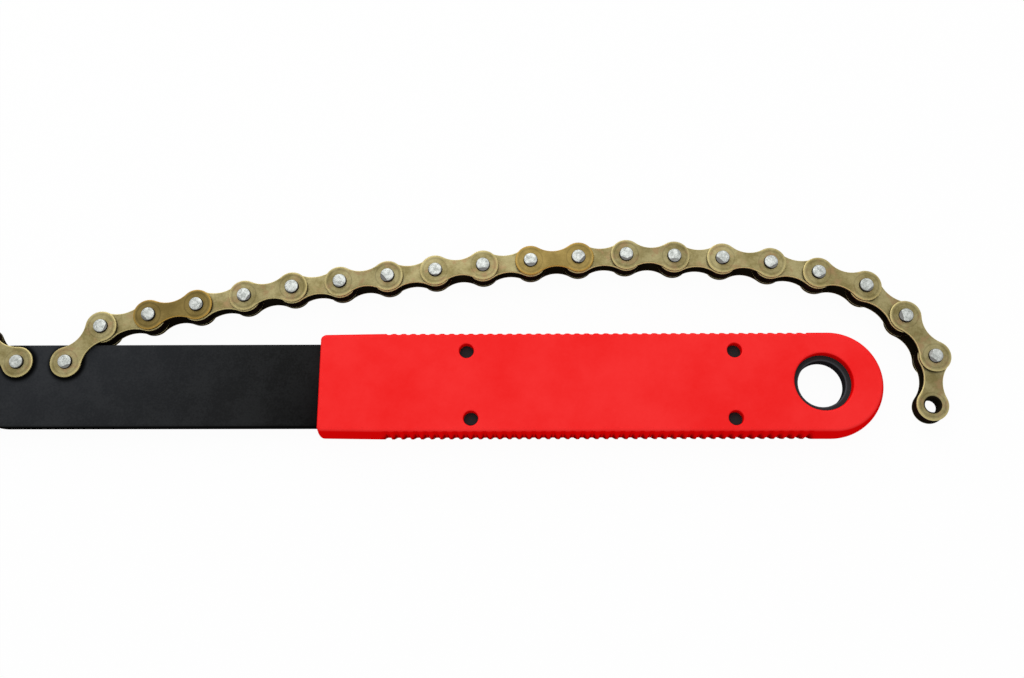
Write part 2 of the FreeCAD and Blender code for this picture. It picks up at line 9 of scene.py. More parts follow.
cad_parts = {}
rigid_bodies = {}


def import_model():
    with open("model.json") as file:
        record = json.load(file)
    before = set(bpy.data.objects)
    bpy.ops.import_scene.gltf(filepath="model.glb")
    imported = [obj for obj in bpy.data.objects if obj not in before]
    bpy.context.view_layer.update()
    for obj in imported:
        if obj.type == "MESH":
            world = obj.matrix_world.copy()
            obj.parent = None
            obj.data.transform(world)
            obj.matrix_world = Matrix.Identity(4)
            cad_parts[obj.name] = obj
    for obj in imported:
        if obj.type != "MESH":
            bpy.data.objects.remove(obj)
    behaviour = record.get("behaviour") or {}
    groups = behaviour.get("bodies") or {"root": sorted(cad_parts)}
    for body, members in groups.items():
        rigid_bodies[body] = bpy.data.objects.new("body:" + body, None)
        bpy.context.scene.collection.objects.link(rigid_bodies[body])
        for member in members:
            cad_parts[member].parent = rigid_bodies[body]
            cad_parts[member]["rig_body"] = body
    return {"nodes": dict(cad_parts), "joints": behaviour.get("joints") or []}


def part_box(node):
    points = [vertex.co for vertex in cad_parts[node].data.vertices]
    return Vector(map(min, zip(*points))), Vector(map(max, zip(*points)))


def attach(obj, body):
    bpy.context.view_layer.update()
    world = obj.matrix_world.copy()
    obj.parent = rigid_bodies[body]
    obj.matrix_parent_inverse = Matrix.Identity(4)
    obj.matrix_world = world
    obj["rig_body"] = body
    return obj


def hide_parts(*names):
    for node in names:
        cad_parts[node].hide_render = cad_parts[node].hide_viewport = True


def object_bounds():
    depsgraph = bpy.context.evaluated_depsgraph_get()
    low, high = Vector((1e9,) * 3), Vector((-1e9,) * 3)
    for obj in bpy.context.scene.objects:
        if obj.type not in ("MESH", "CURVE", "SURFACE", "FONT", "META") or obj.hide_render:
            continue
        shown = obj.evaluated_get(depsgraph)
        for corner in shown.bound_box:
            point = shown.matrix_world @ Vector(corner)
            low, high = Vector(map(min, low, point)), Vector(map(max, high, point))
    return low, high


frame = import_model()
cadBox = [list(corner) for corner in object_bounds()]

# Lengths are millimetres in this script, until a finished mesh is set down in the scene.
mm = 0.001
near = 0.004                            # points closer than this are one point


# camera, floor and light

camera = {
    "place": (-75.05, -71.96, 290.55),
    "turn": (16.255, 0.882, 0.089),     # degrees about X, Y and Z
    "lens": 40.52,
    "sensor": 36.0,
}


def setCamera():
    lens = bpy.data.cameras.new("photoCamera")
    lens.sensor_width = camera["sensor"]
    lens.lens = camera["lens"]
    lens.clip_start = 0.01
    lens.clip_end = 20
    holder = bpy.data.objects.new("photoCamera", lens)
    holder.location = Vector(camera["place"]) * mm
    holder.rotation_euler = [radians(angle) for angle in camera["turn"]]
    bpy.context.scene.collection.objects.link(holder)
    bpy.context.scene.camera = holder


studio = {
    "floorHalf": 2500,
    "floorColour": (0.86, 0.86, 0.86, 1),
    "floorShows": 0.965,                # share of plain white that the lens sees, the rest takes shadows
    "skyStrength": 0.62,
    "lamps": {
        # name: place, point it looks at, side, watts and colour
        "keyLamp": ((-140, 360, 680), (-55, 10, 0), 650, 2.2, (1.0, 0.995, 0.98)),
        "sideLamp": ((-300, 620, 260), (-60, 10, 0), 420, 1.4, (1.0, 0.99, 0.97)),
    },
}


def node(tree, kind, inputs=None, **settings):
    made = tree.nodes.new("ShaderNode" + kind)
    for name, value in settings.items():
        setattr(made, name, value)
    for name, value in (inputs or {}).items():
        if isinstance(value, bpy.types.NodeSocket):
            tree.links.new(value, made.inputs[name])
        else:
            made.inputs[name].default_value = value
    return made


def seenRays(tree):
    # rays that show the plain white studio: the lens, reflections and glass
    rays = node(tree, "LightPath")
    shown = node(tree, "Math", {0: rays.outputs["Is Camera Ray"], 1: rays.outputs["Is Glossy Ray"]},
                 operation="MAXIMUM").outputs[0]
    return node(tree, "Math", {0: shown, 1: rays.outputs["Is Transmission Ray"]},
                operation="MAXIMUM").outputs[0]


def setFloor():
    material = bpy.data.materials.new("whiteFloor")
    material.use_nodes = True
    tree = material.node_tree
    tree.nodes.clear()
    share = node(tree, "Math", {0: seenRays(tree), 1: studio["floorShows"]}, operation="MULTIPLY")
    paper = node(tree, "BsdfDiffuse", {"Color": studio["floorColour"]})
    glow = node(tree, "Emission", {"Color": (1, 1, 1, 1), "Strength": 1.0})
    mixed = node(tree, "MixShader", {0: share.outputs[0], 1: paper.outputs[0], 2: glow.outputs[0]})
    node(tree, "OutputMaterial", {"Surface": mixed.outputs[0]})
    bm = bmesh.new()
    bmesh.ops.create_grid(bm, x_segments=1, y_segments=1, size=studio["floorHalf"] * mm)
    bmesh.ops.translate(bm, verts=bm.verts[:], vec=(0, 0, cadBox[0][2]))
    mesh = bpy.data.meshes.new("studioFloor")
    bm.to_mesh(mesh)
    bm.free()
    mesh.materials.append(material)
    floor = bpy.data.objects.new("studioFloor", mesh)
    bpy.context.scene.collection.objects.link(floor)


def setLight():
    world = bpy.data.worlds.new("studioSky")
    bpy.context.scene.world = world
    world.use_nodes = True
    tree = world.node_tree
    tree.nodes.clear()
    strength = node(tree, "MapRange", {0: seenRays(tree), 3: studio["skyStrength"], 4: 1.0})
    sky = node(tree, "Background", {"Color": (1, 1, 1, 1), "Strength": strength.outputs[0]})
    node(tree, "OutputWorld", {"Surface": sky.outputs[0]})
    for name, (place, aim, side, watts, colour) in studio["lamps"].items():
        lamp = bpy.data.lights.new(name, "AREA")
        lamp.size = side * mm
        lamp.energy = watts
        lamp.color = colour
        holder = bpy.data.objects.new(name, lamp)
        holder.location = Vector(place) * mm
        holder.rotation_euler = (Vector(aim) - Vector(place)).to_track_quat("-Z", "Y").to_euler()
        bpy.context.scene.collection.objects.link(holder)


bpy.context.scene.view_settings.view_transform = "Standard"
setCamera()
setFloor()
setLight()
print("camera, floor and light are set")


# shader groups that several finishes share

def newGroup(name, inputs, outputs):
    group = bpy.data.node_groups.new(name, "ShaderNodeTree")
    for label, kind, value in inputs:
        socket = group.interface.new_socket(name=label, in_out="INPUT", socket_type="NodeSocket" + kind)
        socket.default_value = value
    for label, kind in outputs:
        group.interface.new_socket(name=label, in_out="OUTPUT", socket_type="NodeSocket" + kind)
    return group, group.nodes.new("NodeGroupInput"), group.nodes.new("NodeGroupOutput")


def mathNode(tree, operation, a, b=0.0, c=0.0):
    return node(tree, "Math", {0: a, 1: b, 2: c}, operation=operation).outputs[0]


def product(tree, first, *factors):
    for factor in factors:
        first = mathNode(tree, "MULTIPLY", first, factor)
    return first


def ramp(tree, value, low, high, start=0.0, end=1.0):
    # smooth step from start to end while value goes from low to high
    return node(tree, "MapRange", {0: value, 1: low, 2: high, 3: start, 4: end},
                interpolation_type="SMOOTHSTEP").outputs[0]


def blend(tree, share, first, second, how="MIX"):
    mixed = node(tree, "Mix", {0: share, 6: first, 7: second}, data_type="RGBA", blend_type=how)
    return mixed.outputs[2]


def noise(tree, vector, scale, detail=3.0, rough=0.55):
    return node(tree, "TexNoise", {"Vector": vector, "Scale": scale, "Detail": detail,
                                   "Roughness": rough}).outputs[0]


def lengthOf(tree, x, y):
    span = node(tree, "CombineXYZ", {0: x, 1: y}).outputs[0]
    return node(tree, "VectorMath", {0: span}, operation="LENGTH").outputs["Value"]


def normalOf(tree):
    return node(tree, "SeparateXYZ", {0: node(tree, "NewGeometry").outputs["Normal"]}).outputs


def makeMottle():
    # two tones in soft clouds with a fine speckle over them
    group, given, out = newGroup("mottle", [
        ("Vector", "Vector", (0, 0, 0)), ("Cloud Scale", "Float", 0.3), ("Speckle Scale", "Float", 4.0),
        ("Speckle", "Float", 0.2), ("Dark", "Color", (0, 0, 0, 1)), ("Light", "Color", (1, 1, 1, 1)),
    ], [("Color", "Color"), ("Value", "Float")])
    cloud = noise(group, given.outputs["Vector"], given.outputs["Cloud Scale"], 4.0, 0.6)
    speckle = noise(group, given.outputs["Vector"], given.outputs["Speckle Scale"], 2.0)
    apart = mathNode(group, "SUBTRACT", speckle, 0.5)
    value = mathNode(group, "MULTIPLY_ADD", apart, given.outputs["Speckle"], ramp(group, cloud, 0.3, 0.7))
    group.links.new(value, out.inputs["Value"])
    group.links.new(blend(group, value, given.outputs["Dark"], given.outputs["Light"]), out.inputs["Color"])
    return group


def makeGrain():
    # drawn-out scratches and a fine tooth, for bump and roughness
    group, given, out = newGroup("grain", [
        ("Vector", "Vector", (0, 0, 0)), ("Stretch", "Vector", (1, 1, 1)), ("Scale", "Float", 2.0),
        ("Depth", "Float", 0.1), ("Rough Low", "Float", 0.3), ("Rough High", "Float", 0.5),
    ], [("Roughness", "Float"), ("Normal", "Vector")])
    drawn = node(group, "Mapping", {"Vector": given.outputs["Vector"], "Scale": given.outputs["Stretch"]})
    lines = noise(group, drawn.outputs[0], given.outputs["Scale"], 5.0, 0.7)
    wide = noise(group, given.outputs["Vector"], 0.35, 2.0)
    both = mathNode(group, "MULTIPLY_ADD", wide, 0.4, mathNode(group, "MULTIPLY", lines, 0.6))
    rough = node(group, "MapRange", {0: both, 1: 0.3, 2: 0.7, 3: given.outputs["Rough Low"],
                                     4: given.outputs["Rough High"]})
    bump = node(group, "Bump", {"Strength": given.outputs["Depth"], "Distance": 0.0001, "Height": lines})
    group.links.new(rough.outputs[0], out.inputs["Roughness"])
    group.links.new(bump.outputs[0], out.inputs["Normal"])
    return group


def makeFacing():
    # which way a chain plate's surface looks, from its own height and its normal
    group, given, out = newGroup("facing", [("Height", "Float", 0.0)],
                                 [("Outward", "Float"), ("Rim", "Float")])
    side = mathNode(group, "SIGN", given.outputs["Height"])
    outward = product(group, normalOf(group)[2], side)
    flat = ramp(group, outward, 0.90, 0.99)
    rim = product(group, ramp(group, outward, 0.02, 0.16), mathNode(group, "SUBTRACT", 1.0, flat))
    group.links.new(flat, out.inputs["Outward"])
    group.links.new(rim, out.inputs["Rim"])
    return group


groups = {"mottle": makeMottle(), "grain": makeGrain(), "facing": makeFacing()}


def useGroup(tree, name, inputs):
    made = tree.nodes.new("ShaderNodeGroup")
    made.node_tree = groups[name]
    for label, value in inputs.items():
        if isinstance(value, bpy.types.NodeSocket):
            tree.links.new(value, made.inputs[label])
        else:
            made.inputs[label].default_value = value
    return made.outputs


def newFinish(name):
    material = bpy.data.materials.new(name)
    material.use_nodes = True
    tree = material.node_tree
    tree.nodes.clear()
    shader = node(tree, "BsdfPrincipled")
    node(tree, "OutputMaterial", {"Surface": shader.outputs[0]})
    return material, tree, shader


def connect(tree, shader, sockets):
    for name, value in sockets.items():
        if isinstance(value, bpy.types.NodeSocket):
            tree.links.new(value, shader.inputs[name])
        else:
            shader.inputs[name].default_value = value


def inMillimetres(tree):
    place = node(tree, "TexCoord").outputs["Object"]
    return node(tree, "Mapping", {"Vector": place, "Scale": (1 / mm, 1 / mm, 1 / mm)}).outputs[0]


# finishes

platedSteel = {
    "dark": (0.155, 0.127, 0.050, 1),
    "light": (0.280, 0.243, 0.122, 1),
    "brown": (0.240, 0.160, 0.080, 1),  # faint patches
    "bronze": (0.235, 0.170, 0.056, 1), # the two links that are more orange
    "bronzeDark": (0.165, 0.118, 0.036, 1),
    # the light rim: wear and painted highlight
    "rim": (0.58, 0.49, 0.22, 1),
    "bronzeRim": (0.48, 0.29, 0.06, 1),
    "paintedShade": (0.0045, 0.0030, 0.0022, 1), # painted shade with oil, on cut edges and inner sides
    "metal": 0.86,
    "shadeAndOilMetal": 0.02,
    "patchShare": 0.8,
    "ring": 3.15,                       # radius of the faint ring round each pin
    "ringShade": -0.22,
    "turned": (3.6, 2.9),               # radii between which the finely turned lines set in
    "turnedLines": 19.0,                # radians to the millimetre
    "turnedShade": 0.10,
    "band": (3.55, 3.85),               # radii between which the worn band with its painted highlight sets in
    "bandShare": 0.45,
    "rimShare": 0.9,
    "mouth": (2.75, 2.5),               # the open collar's mouth, oily and in painted shade
    "shadeAndOilShare": 0.97,
}


def makePlatedSteel():
    look = platedSteel
    material, tree, shader = newFinish("platedSteel")
    place = inMillimetres(tree)
    local = node(tree, "Attribute", attribute_name="linkPlace").outputs["Vector"]
    axes = node(tree, "SeparateXYZ", {0: local}).outputs
    tint = node(tree, "Attribute", attribute_name="tint").outputs["Fac"]
    # distance to the nearer of the link's two pins, which lie half a pitch from its middle
    along = mathNode(tree, "SUBTRACT", axes[0], pitch / 2)
    offset = mathNode(tree, "SUBTRACT", mathNode(tree, "ABSOLUTE", along), pitch / 2)
    distance = lengthOf(tree, offset, axes[1])
    facing = useGroup(tree, "facing", {"Height": axes[2]})
    notOutward = mathNode(tree, "SUBTRACT", 1.0, facing["Outward"])

    tone = useGroup(tree, "mottle", {"Vector": place, "Cloud Scale": 0.22, "Speckle Scale": 2.6,
                                     "Speckle": 0.75, "Dark": look["dark"], "Light": look["light"]})
    patches = ramp(tree, noise(tree, place, 0.28, 4.0, 0.65), 0.50, 0.66)
    colour = blend(tree, product(tree, patches, look["patchShare"]), tone["Color"], look["brown"])
    bronze = blend(tree, tone["Value"], look["bronzeDark"], look["bronze"])
    colour = blend(tree, tint, colour, bronze)

    # faint turned ring round each pin, with finer lines inside it, and how dark the link is as a whole
    ring = product(tree, ramp(tree, distance, look["ring"] - 0.22, look["ring"]),
                   ramp(tree, distance, look["ring"] + 0.25, look["ring"] + 0.02))
    lines = mathNode(tree, "SINE", product(tree, distance, look["turnedLines"]))
    turned = product(tree, ramp(tree, distance, *look["turned"]), look["turnedShade"])
    linkDarkness = product(tree, ramp(tree, tint, 1.0, 2.0, 1.0, 0.66), ramp(tree, tint, -1.0, 0.0, 0.5, 1.0))
    shade = mathNode(tree, "MULTIPLY_ADD", lines, turned, linkDarkness)
    shade = mathNode(tree, "MULTIPLY_ADD", ring, look["ringShade"], shade)
    shadeColour = node(tree, "CombineColor", {0: shade, 1: shade, 2: shade}).outputs[0]
    colour = blend(tree, 1.0, colour, shadeColour, "MULTIPLY")

    # worn edges with a painted highlight: the rounded rim, and a narrow band inside it on the lobes
    lobe = mathNode(tree, "MAXIMUM", ramp(tree, offset, -0.6, 0.4),
                    ramp(tree, mathNode(tree, "ABSOLUTE", axes[1]), 2.5, 3.0))
    band = product(tree, ramp(tree, distance, *look["band"]), lobe, look["bandShare"], facing["Outward"])
    rimmed = product(tree, facing["Rim"], ramp(tree, distance, 2.6, 3.0))
    edge = product(tree, mathNode(tree, "MAXIMUM", band, rimmed), look["rimShare"])
    colour = blend(tree, edge, colour, blend(tree, tint, look["rim"], look["bronzeRim"]))

    # painted shade and oil on all that looks away from the chain's two flat sides, and in the mouth of an
    # open collar
    shown = mathNode(tree, "MAXIMUM", facing["Outward"], facing["Rim"])
    mouth = product(tree, ramp(tree, distance, *look["mouth"]), notOutward)
    shadeAndOil = mathNode(tree, "MAXIMUM", mathNode(tree, "SUBTRACT", 1.0, shown), mouth)
    colour = blend(tree, product(tree, shadeAndOil, look["shadeAndOilShare"]), colour, look["paintedShade"])
    grain = useGroup(tree, "grain", {"Vector": local, "Stretch": (0.5, 1.6, 1.0), "Scale": 2.2, "Depth": 0.22,
                                     "Rough Low": 0.36, "Rough High": 0.54})
    metal = ramp(tree, shadeAndOil, 0.0, 1.0, look["metal"], look["shadeAndOilMetal"])
    connect(tree, shader, {"Base Color": colour, "Roughness": grain["Roughness"], "Normal": grain["Normal"],
                           "Metallic": metal, "Specular IOR Level": 0.0})
    return material


pinSteel = {
    "dark": (0.25, 0.265, 0.25, 1),
    "light": (0.50, 0.52, 0.50, 1),
    "flatShade": (0.19, 0.19, 0.18, 1),   # painted shade on the flats of the ends
    # the sides: painted shade
    "side": (0.012, 0.011, 0.010, 1),
    "metal": 0.9,
    "sideMetal": 0.3,
}


def makePinSteel():
    look = pinSteel
    material, tree, shader = newFinish("pinSteel")
    place = inMillimetres(tree)
    tone = useGroup(tree, "mottle", {"Vector": place, "Cloud Scale": 1.1, "Speckle Scale": 3.4,
                                     "Speckle": 1.6, "Dark": look["dark"], "Light": look["light"]})
    grain = useGroup(tree, "grain", {"Vector": place, "Stretch": (2.2, 0.7, 1.0), "Scale": 2.4, "Depth": 0.6,
                                     "Rough Low": 0.34, "Rough High": 0.52})
    # the ends are bright, their flats darker and the sides dark, both painted shade
    level = mathNode(tree, "ABSOLUTE", normalOf(tree)[2])
    colour = blend(tree, ramp(tree, level, 0.965, 0.86), tone["Color"], look["flatShade"])
    side = ramp(tree, level, 0.70, 0.35)
    colour = blend(tree, side, colour, look["side"])
    metal = ramp(tree, side, 0.0, 1.0, look["metal"], look["sideMetal"])
    connect(tree, shader, {"Base Color": colour, "Roughness": grain["Roughness"],
                           "Normal": grain["Normal"], "Metallic": metal, "Specular IOR Level": 0.05})
    return material


# nearly black and without sheen: painted shade between the plates
rollerSteel = {
    "dark": (0.0028, 0.0018, 0.0016, 1),
    "light": (0.016, 0.0075, 0.0055, 1),
}


def makeRollerSteel():
    look = rollerSteel
    material, tree, shader = newFinish("rollerSteel")
    place = inMillimetres(tree)
    tone = useGroup(tree, "mottle", {"Vector": place, "Cloud Scale": 0.6, "Speckle Scale": 3.0,
                                     "Speckle": 0.6, "Dark": look["dark"], "Light": look["light"]})
    grain = useGroup(tree, "grain", {"Vector": place, "Stretch": (1, 1, 4), "Scale": 1.6, "Depth": 0.2,
                                     "Rough Low": 0.38, "Rough High": 0.6})
    connect(tree, shader, {"Base Color": tone["Color"], "Roughness": grain["Roughness"],
                           "Normal": grain["Normal"], "Metallic": 0.0, "Specular IOR Level": 0.0})
    return material


blackSteel = {
    "dark": (0.0112, 0.0112, 0.0110, 1),
    "light": (0.0170, 0.0175, 0.0177, 1),
    # paler and bluer at the free end: painted sheen
    "paintedSheenDark": (0.0270, 0.0295, 0.0335, 1),
    "paintedSheenLight": (0.0345, 0.0370, 0.0410, 1),
    "paintedSheen": (-120, -215),              # along the bar, where the painted sheen sets in and is full
    # blacker towards the grip and the lower edge: painted shade
    "gripShadeDark": (0.0052, 0.0052, 0.0054, 1),
    "gripShadeLight": (0.0086, 0.0086, 0.0088, 1),
    "gripShade": (-150, -125),               # along the bar, where the painted shade sets in towards the grip
    # painted shadow round the rivets
    "paintedShade": (0.0020, 0.0020, 0.0022, 1),
    "shadowRing": (5.6, 4.3),              # painted shadow, from a rivet's centre
    # lighter: painted light where the grip shades the bar
    "paintedLightUnderGrip": (0.0330, 0.0365, 0.0385, 1),
    "gripStart": (-128.5, -127.5),
    "hangArea": (-12, -8),
    "hangBevel": (0.0700, 0.0740, 0.0820, 1),
    "hangWall": (0.0200, 0.0210, 0.0235, 1),
    # darker side walls: painted shade
    "paintedSideShade": (0.0035, 0.0035, 0.0035, 1),
}


def makeBlackSteel():
    look = blackSteel
    material, tree, shader = newFinish("blackSteel")
    place = inMillimetres(tree)
    axes = node(tree, "SeparateXYZ", {0: place}).outputs
    level = mathNode(tree, "ABSOLUTE", normalOf(tree)[2])
    tone = useGroup(tree, "mottle", {"Vector": place, "Cloud Scale": 0.14, "Speckle Scale": 2.3,
                                     "Speckle": 3.0, "Dark": look["dark"], "Light": look["light"]})
    # painted sheen, paler and bluer at the free end, and painted shade, blacker towards the grip and the
    # lower edge
    free = product(tree, ramp(tree, axes[0], *look["paintedSheen"]), ramp(tree, axes[1], -16, 12, 0.55, 1.0))
    paintedSheen = blend(tree, tone["Value"], look["paintedSheenDark"], look["paintedSheenLight"])
    colour = blend(tree, free, tone["Color"], paintedSheen)
    held = product(tree, ramp(tree, axes[0], *look["gripShade"]), ramp(tree, axes[1], 6, -9, 0.25, 1.0))
    gripShade = blend(tree, tone["Value"], look["gripShadeDark"], look["gripShadeLight"])
    colour = blend(tree, held, colour, gripShade)
    # painted shadow round the chains' first links, where they stand on the bar
    for rivet in (chains["long"][0], chains["short"][0]):
        away = lengthOf(tree, mathNode(tree, "SUBTRACT", axes[0], rivet.x),
                        mathNode(tree, "SUBTRACT", axes[1], rivet.y))
        colour = blend(tree, ramp(tree, away, *look["shadowRing"], 0.0, 0.9), colour, look["paintedShade"])
    # under the grip only the floors of its openings and the hang hole show; they are painted lighter there,
    # painted light in the grip's shade
    colour = blend(tree, ramp(tree, axes[0], *look["gripStart"]), colour, look["paintedLightUnderGrip"])
    atHang = ramp(tree, axes[0], *look["hangArea"])
    colour = blend(tree, product(tree, atHang, ramp(tree, level, 0.97, 0.85)), colour, look["hangBevel"])
    # the side walls are darker, painted shade, and the hang hole's wall less dark
    wall = blend(tree, atHang, look["paintedSideShade"], look["hangWall"])
    colour = blend(tree, ramp(tree, level, 0.55, 0.3), colour, wall)
    grain = useGroup(tree, "grain", {"Vector": place, "Stretch": (0.12, 1.2, 1.0), "Scale": 1.1,
                                     "Depth": 0.25, "Rough Low": 0.36, "Rough High": 0.52})
    connect(tree, shader, {"Base Color": colour, "Roughness": grain["Roughness"],
                           "Normal": grain["Normal"], "Metallic": 0.0, "Specular IOR Level": 0.0})
    return material


redPlastic = {
    # a paler red with painted sheen, for the flat faces
    "dark": (0.90, 0.0200, 0.0195, 1),
    "light": (0.95, 0.0325, 0.0320, 1),
    # a deeper red without the painted sheen, for the sides
    "side": (0.84, 0.0020, 0.0024, 1),
    # painted shade in the finger notches
    "notchShade": (0.12, 0.0010, 0.0012, 1),
    "notchShadeShare": 0.80,
    "notchShadeStart": (-127, -125),         # along the grip, clear of its front edge
    "notchShadeEnd": (2, 0.5),               # and of its round end
    "notchShadeDown": (2.4, -2.6),           # from the upper face to the lower one
    "notchShadeOut": (11.9, 12.4),           # from the middle line
}


def makeRedPlastic():
    look = redPlastic
    material, tree, shader = newFinish("redPlastic")
    place = inMillimetres(tree)
    axes = node(tree, "SeparateXYZ", {0: place}).outputs
    normal = normalOf(tree)
    tone = useGroup(tree, "mottle", {"Vector": place, "Cloud Scale": 0.05, "Speckle Scale": 1.3,
                                     "Speckle": 0.5, "Dark": look["dark"], "Light": look["light"]})
    # painted sheen: the faces are a paler red, the sides and the walls of the openings keep a deeper red
    side = ramp(tree, mathNode(tree, "ABSOLUTE", normal[2]), 0.97, 0.45)
    colour = blend(tree, side, tone["Color"], look["side"])
    # painted shade on the slopes of the finger notches
    along = product(tree, ramp(tree, axes[0], *look["notchShadeStart"]), ramp(tree, axes[0], *look["notchShadeEnd"]))
    out = ramp(tree, mathNode(tree, "ABSOLUTE", axes[1]), *look["notchShadeOut"])
    slope = ramp(tree, mathNode(tree, "ABSOLUTE", normal[0]), 0.15, 0.5)
    notchShade = product(tree, along, ramp(tree, axes[2], *look["notchShadeDown"]), out, slope, look["notchShadeShare"])
    colour = blend(tree, notchShade, colour, look["notchShade"])
    grain = useGroup(tree, "grain", {"Vector": place, "Stretch": (1, 1, 1), "Scale": 1.4, "Depth": 0.05,
                                     "Rough Low": 0.42, "Rough High": 0.52})
    connect(tree, shader, {"Base Color": colour, "Roughness": grain["Roughness"],
                           "Normal": grain["Normal"], "Metallic": 0.0, "Specular IOR Level": 0.0})
    return material


# where the chains lie, read from the frame's joints

def pinPlaces(chain, links):
    joints = {joint["name"]: Vector(joint["pos_m"]) / mm for joint in frame["joints"]}
    places = [joints["%s_pivot_%02d" % (chain, link)] for link in range(1, links + 1)]
    return places + [joints["%s_roller_%02d_spin" % (chain, links + 1)]]


chains = {"long": pinPlaces("long", 20), "short": pinPlaces("short", 4)}
pitch = (chains["long"][1] - chains["long"][0]).length
finishes = {
    "platedSteel": makePlatedSteel(),
    "pinSteel": makePinSteel(),
    "rollerSteel": makeRollerSteel(),
    "blackSteel": makeBlackSteel(),
    "redPlastic": makeRedPlastic(),
}
print("finishes are mixed")


# drawing and forming

def penLine(bm, tip, x, y, steps=1):
    start, end = tip.co.copy(), Vector((x, y, 0))
    for step in range(1, steps + 1):
        tip = bmesh.ops.extrude_vert_indiv(bm, verts=[tip])["verts"][0]
        tip.co = start.lerp(end, step / steps)
    return tip


def penTurn(bm, tip, x, y, angle, steps):
    drawn = bmesh.ops.spin(bm, geom=[tip], cent=(x, y, 0), axis=(0, 0, 1), angle=angle, steps=steps)
    return [item for item in drawn["geom_last"] if isinstance(item, bmesh.types.BMVert)][0]


def closeOutline(bm):
    bmesh.ops.remove_doubles(bm, verts=bm.verts[:], dist=near)
    cap = bmesh.ops.contextual_create(bm, geom=bm.edges[:])["faces"][0]
    cap.normal_update()
    if cap.normal.z < 0:
        cap.normal_flip()
    return cap


def quarterRound(size, steps):
    # how far in and how far up the rim goes, from the upright wall to the flat face
    angles = [0.5 * pi * step / steps for step in range(steps + 1)]
    return [(size * (1 - cos(angle)), size * sin(angle)) for angle in angles]


def raiseWall(bm, cap, half, rim, ledge):
    # walls round an outline, from -half to half, with the rim's profile at both ends and open ends
    foot = half - rim[-1][1]
    bmesh.ops.translate(bm, verts=cap.verts[:], vec=(0, 0, foot))
    for (inLast, upLast), (inNext, upNext) in zip(rim, rim[1:]):
        bmesh.ops.inset_region(bm, faces=[cap], use_boundary=True, use_even_offset=True,
                               thickness=inNext - inLast, depth=upNext - upLast)
    bmesh.ops.inset_region(bm, faces=[cap], use_boundary=True, use_even_offset=True, thickness=ledge, depth=0)
    bmesh.ops.delete(bm, geom=[cap], context="FACES_ONLY")
    if foot > near:
        ring = [edge for edge in bm.edges if edge.is_boundary and
                all(abs(vert.co.z - foot) < near for vert in edge.verts)]
        wall = bmesh.ops.extrude_edge_only(bm, edges=ring)["geom"]
        low = [item for item in wall if isinstance(item, bmesh.types.BMVert)]
        bmesh.ops.translate(bm, verts=low, vec=(0, 0, -foot))
    bmesh.ops.mirror(bm, geom=bm.verts[:] + bm.edges[:] + bm.faces[:], merge_dist=near, axis="Z")


def turnProfile(bm, profile, x, y, steps):
    # a turned surface about an upright axis at x, y, from points of radius and height
    verts = [bm.verts.new((x + radius, y, height)) for radius, height in profile]
    edges = [bm.edges.new(pair) for pair in zip(verts, verts[1:])]
    bmesh.ops.spin(bm, geom=verts + edges, cent=(x, y, 0), axis=(0, 0, 1), angle=2 * pi, steps=steps,
                   use_merge=True)


def closeFlat(bm, level, facing):
    ring = [edge for edge in bm.edges if edge.is_boundary and
            all(abs(vert.co.z - level) < near for vert in edge.verts)]
    bmesh.ops.triangle_fill(bm, use_beauty=True, edges=ring, normal=(0, 0, facing))


def holeProfile(bore, high, low, lip, ledge, steps=3):
    # from the flat face round a hole, over its lip, down the bore and out over the other lip
    turn = [(bore + lip - lip * sin(0.5 * pi * step / steps), lip * (1 - cos(0.5 * pi * step / steps)))
            for step in range(steps + 1)]
    upper = [(radius, high - down) for radius, down in turn]
    lower = [(radius, low + down) for radius, down in reversed(turn)]
    return [(bore + lip + ledge, high)] + upper + lower + [(bore + lip + ledge, low)]


def wellProfile(bore, top, floor, lip, ledge, steps=3):
    # from the flat face round a blind hole, over its lip and down to the middle of its floor
    inward = -1 if floor < top else 1
    points = [(bore + lip + ledge, top)]
    for step in range(steps + 1):
        turn = 0.5 * pi * step / steps
        points.append((bore + lip - lip * sin(turn), top + inward * lip * (1 - cos(turn))))
    return points + [(bore, floor), (0, floor)]


def keepLocal(bm):
    local = bm.verts.layers.float_vector.new("linkPlace")
    bm.verts.ensure_lookup_table()
    for vert in bm.verts:
        vert[local] = vert.co


def template(bm, name):
    bmesh.ops.remove_doubles(bm, verts=bm.verts[:], dist=near)
    bmesh.ops.recalc_face_normals(bm, faces=bm.faces[:])
    keepLocal(bm)
    mesh = bpy.data.meshes.new(name)
    bm.to_mesh(mesh)
    bm.free()
    return mesh


def setDown(bm, name, cadNodes, finish, place=(0, 0), turn=0.0, tint=0.0, sharp=35):
    # gives a formed mesh its place in metres, its finish and the CAD nodes that it stands for
    shade = bm.verts.layers.float.new("tint")
    for vert in bm.verts:
        vert[shade] = tint
    for face in bm.faces:
        face.smooth = True
    move = Matrix.Translation((place[0] * mm, place[1] * mm, 0)) @ Matrix.Rotation(turn, 4, "Z")
    bmesh.ops.transform(bm, matrix=move @ Matrix.Scale(mm, 4), verts=bm.verts[:])
    mesh = bpy.data.meshes.new(name)
    bm.to_mesh(mesh)
    bm.free()
    mesh.set_sharp_from_angle(angle=radians(sharp))
    mesh.materials.append(finishes[finish])
    piece = bpy.data.objects.new(name, mesh)
    bpy.context.scene.collection.objects.link(piece)
    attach(piece, frame["nodes"][cadNodes[0]]["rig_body"])
    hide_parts(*cadNodes)
    return piece


# link plates

outerPlate = {
    "lobe": 4.1,
    "waist": 2.15,
    "low": 2.25,                        # above the chain's middle plane
    "high": 3.25,
    "hole": 1.8,
    "rim": 0.26,
    "lip": 0.08,
    "ledge": 0.12,                      # flat strip inside the rim, and round the holes
    "holeLedge": 0.1,
}

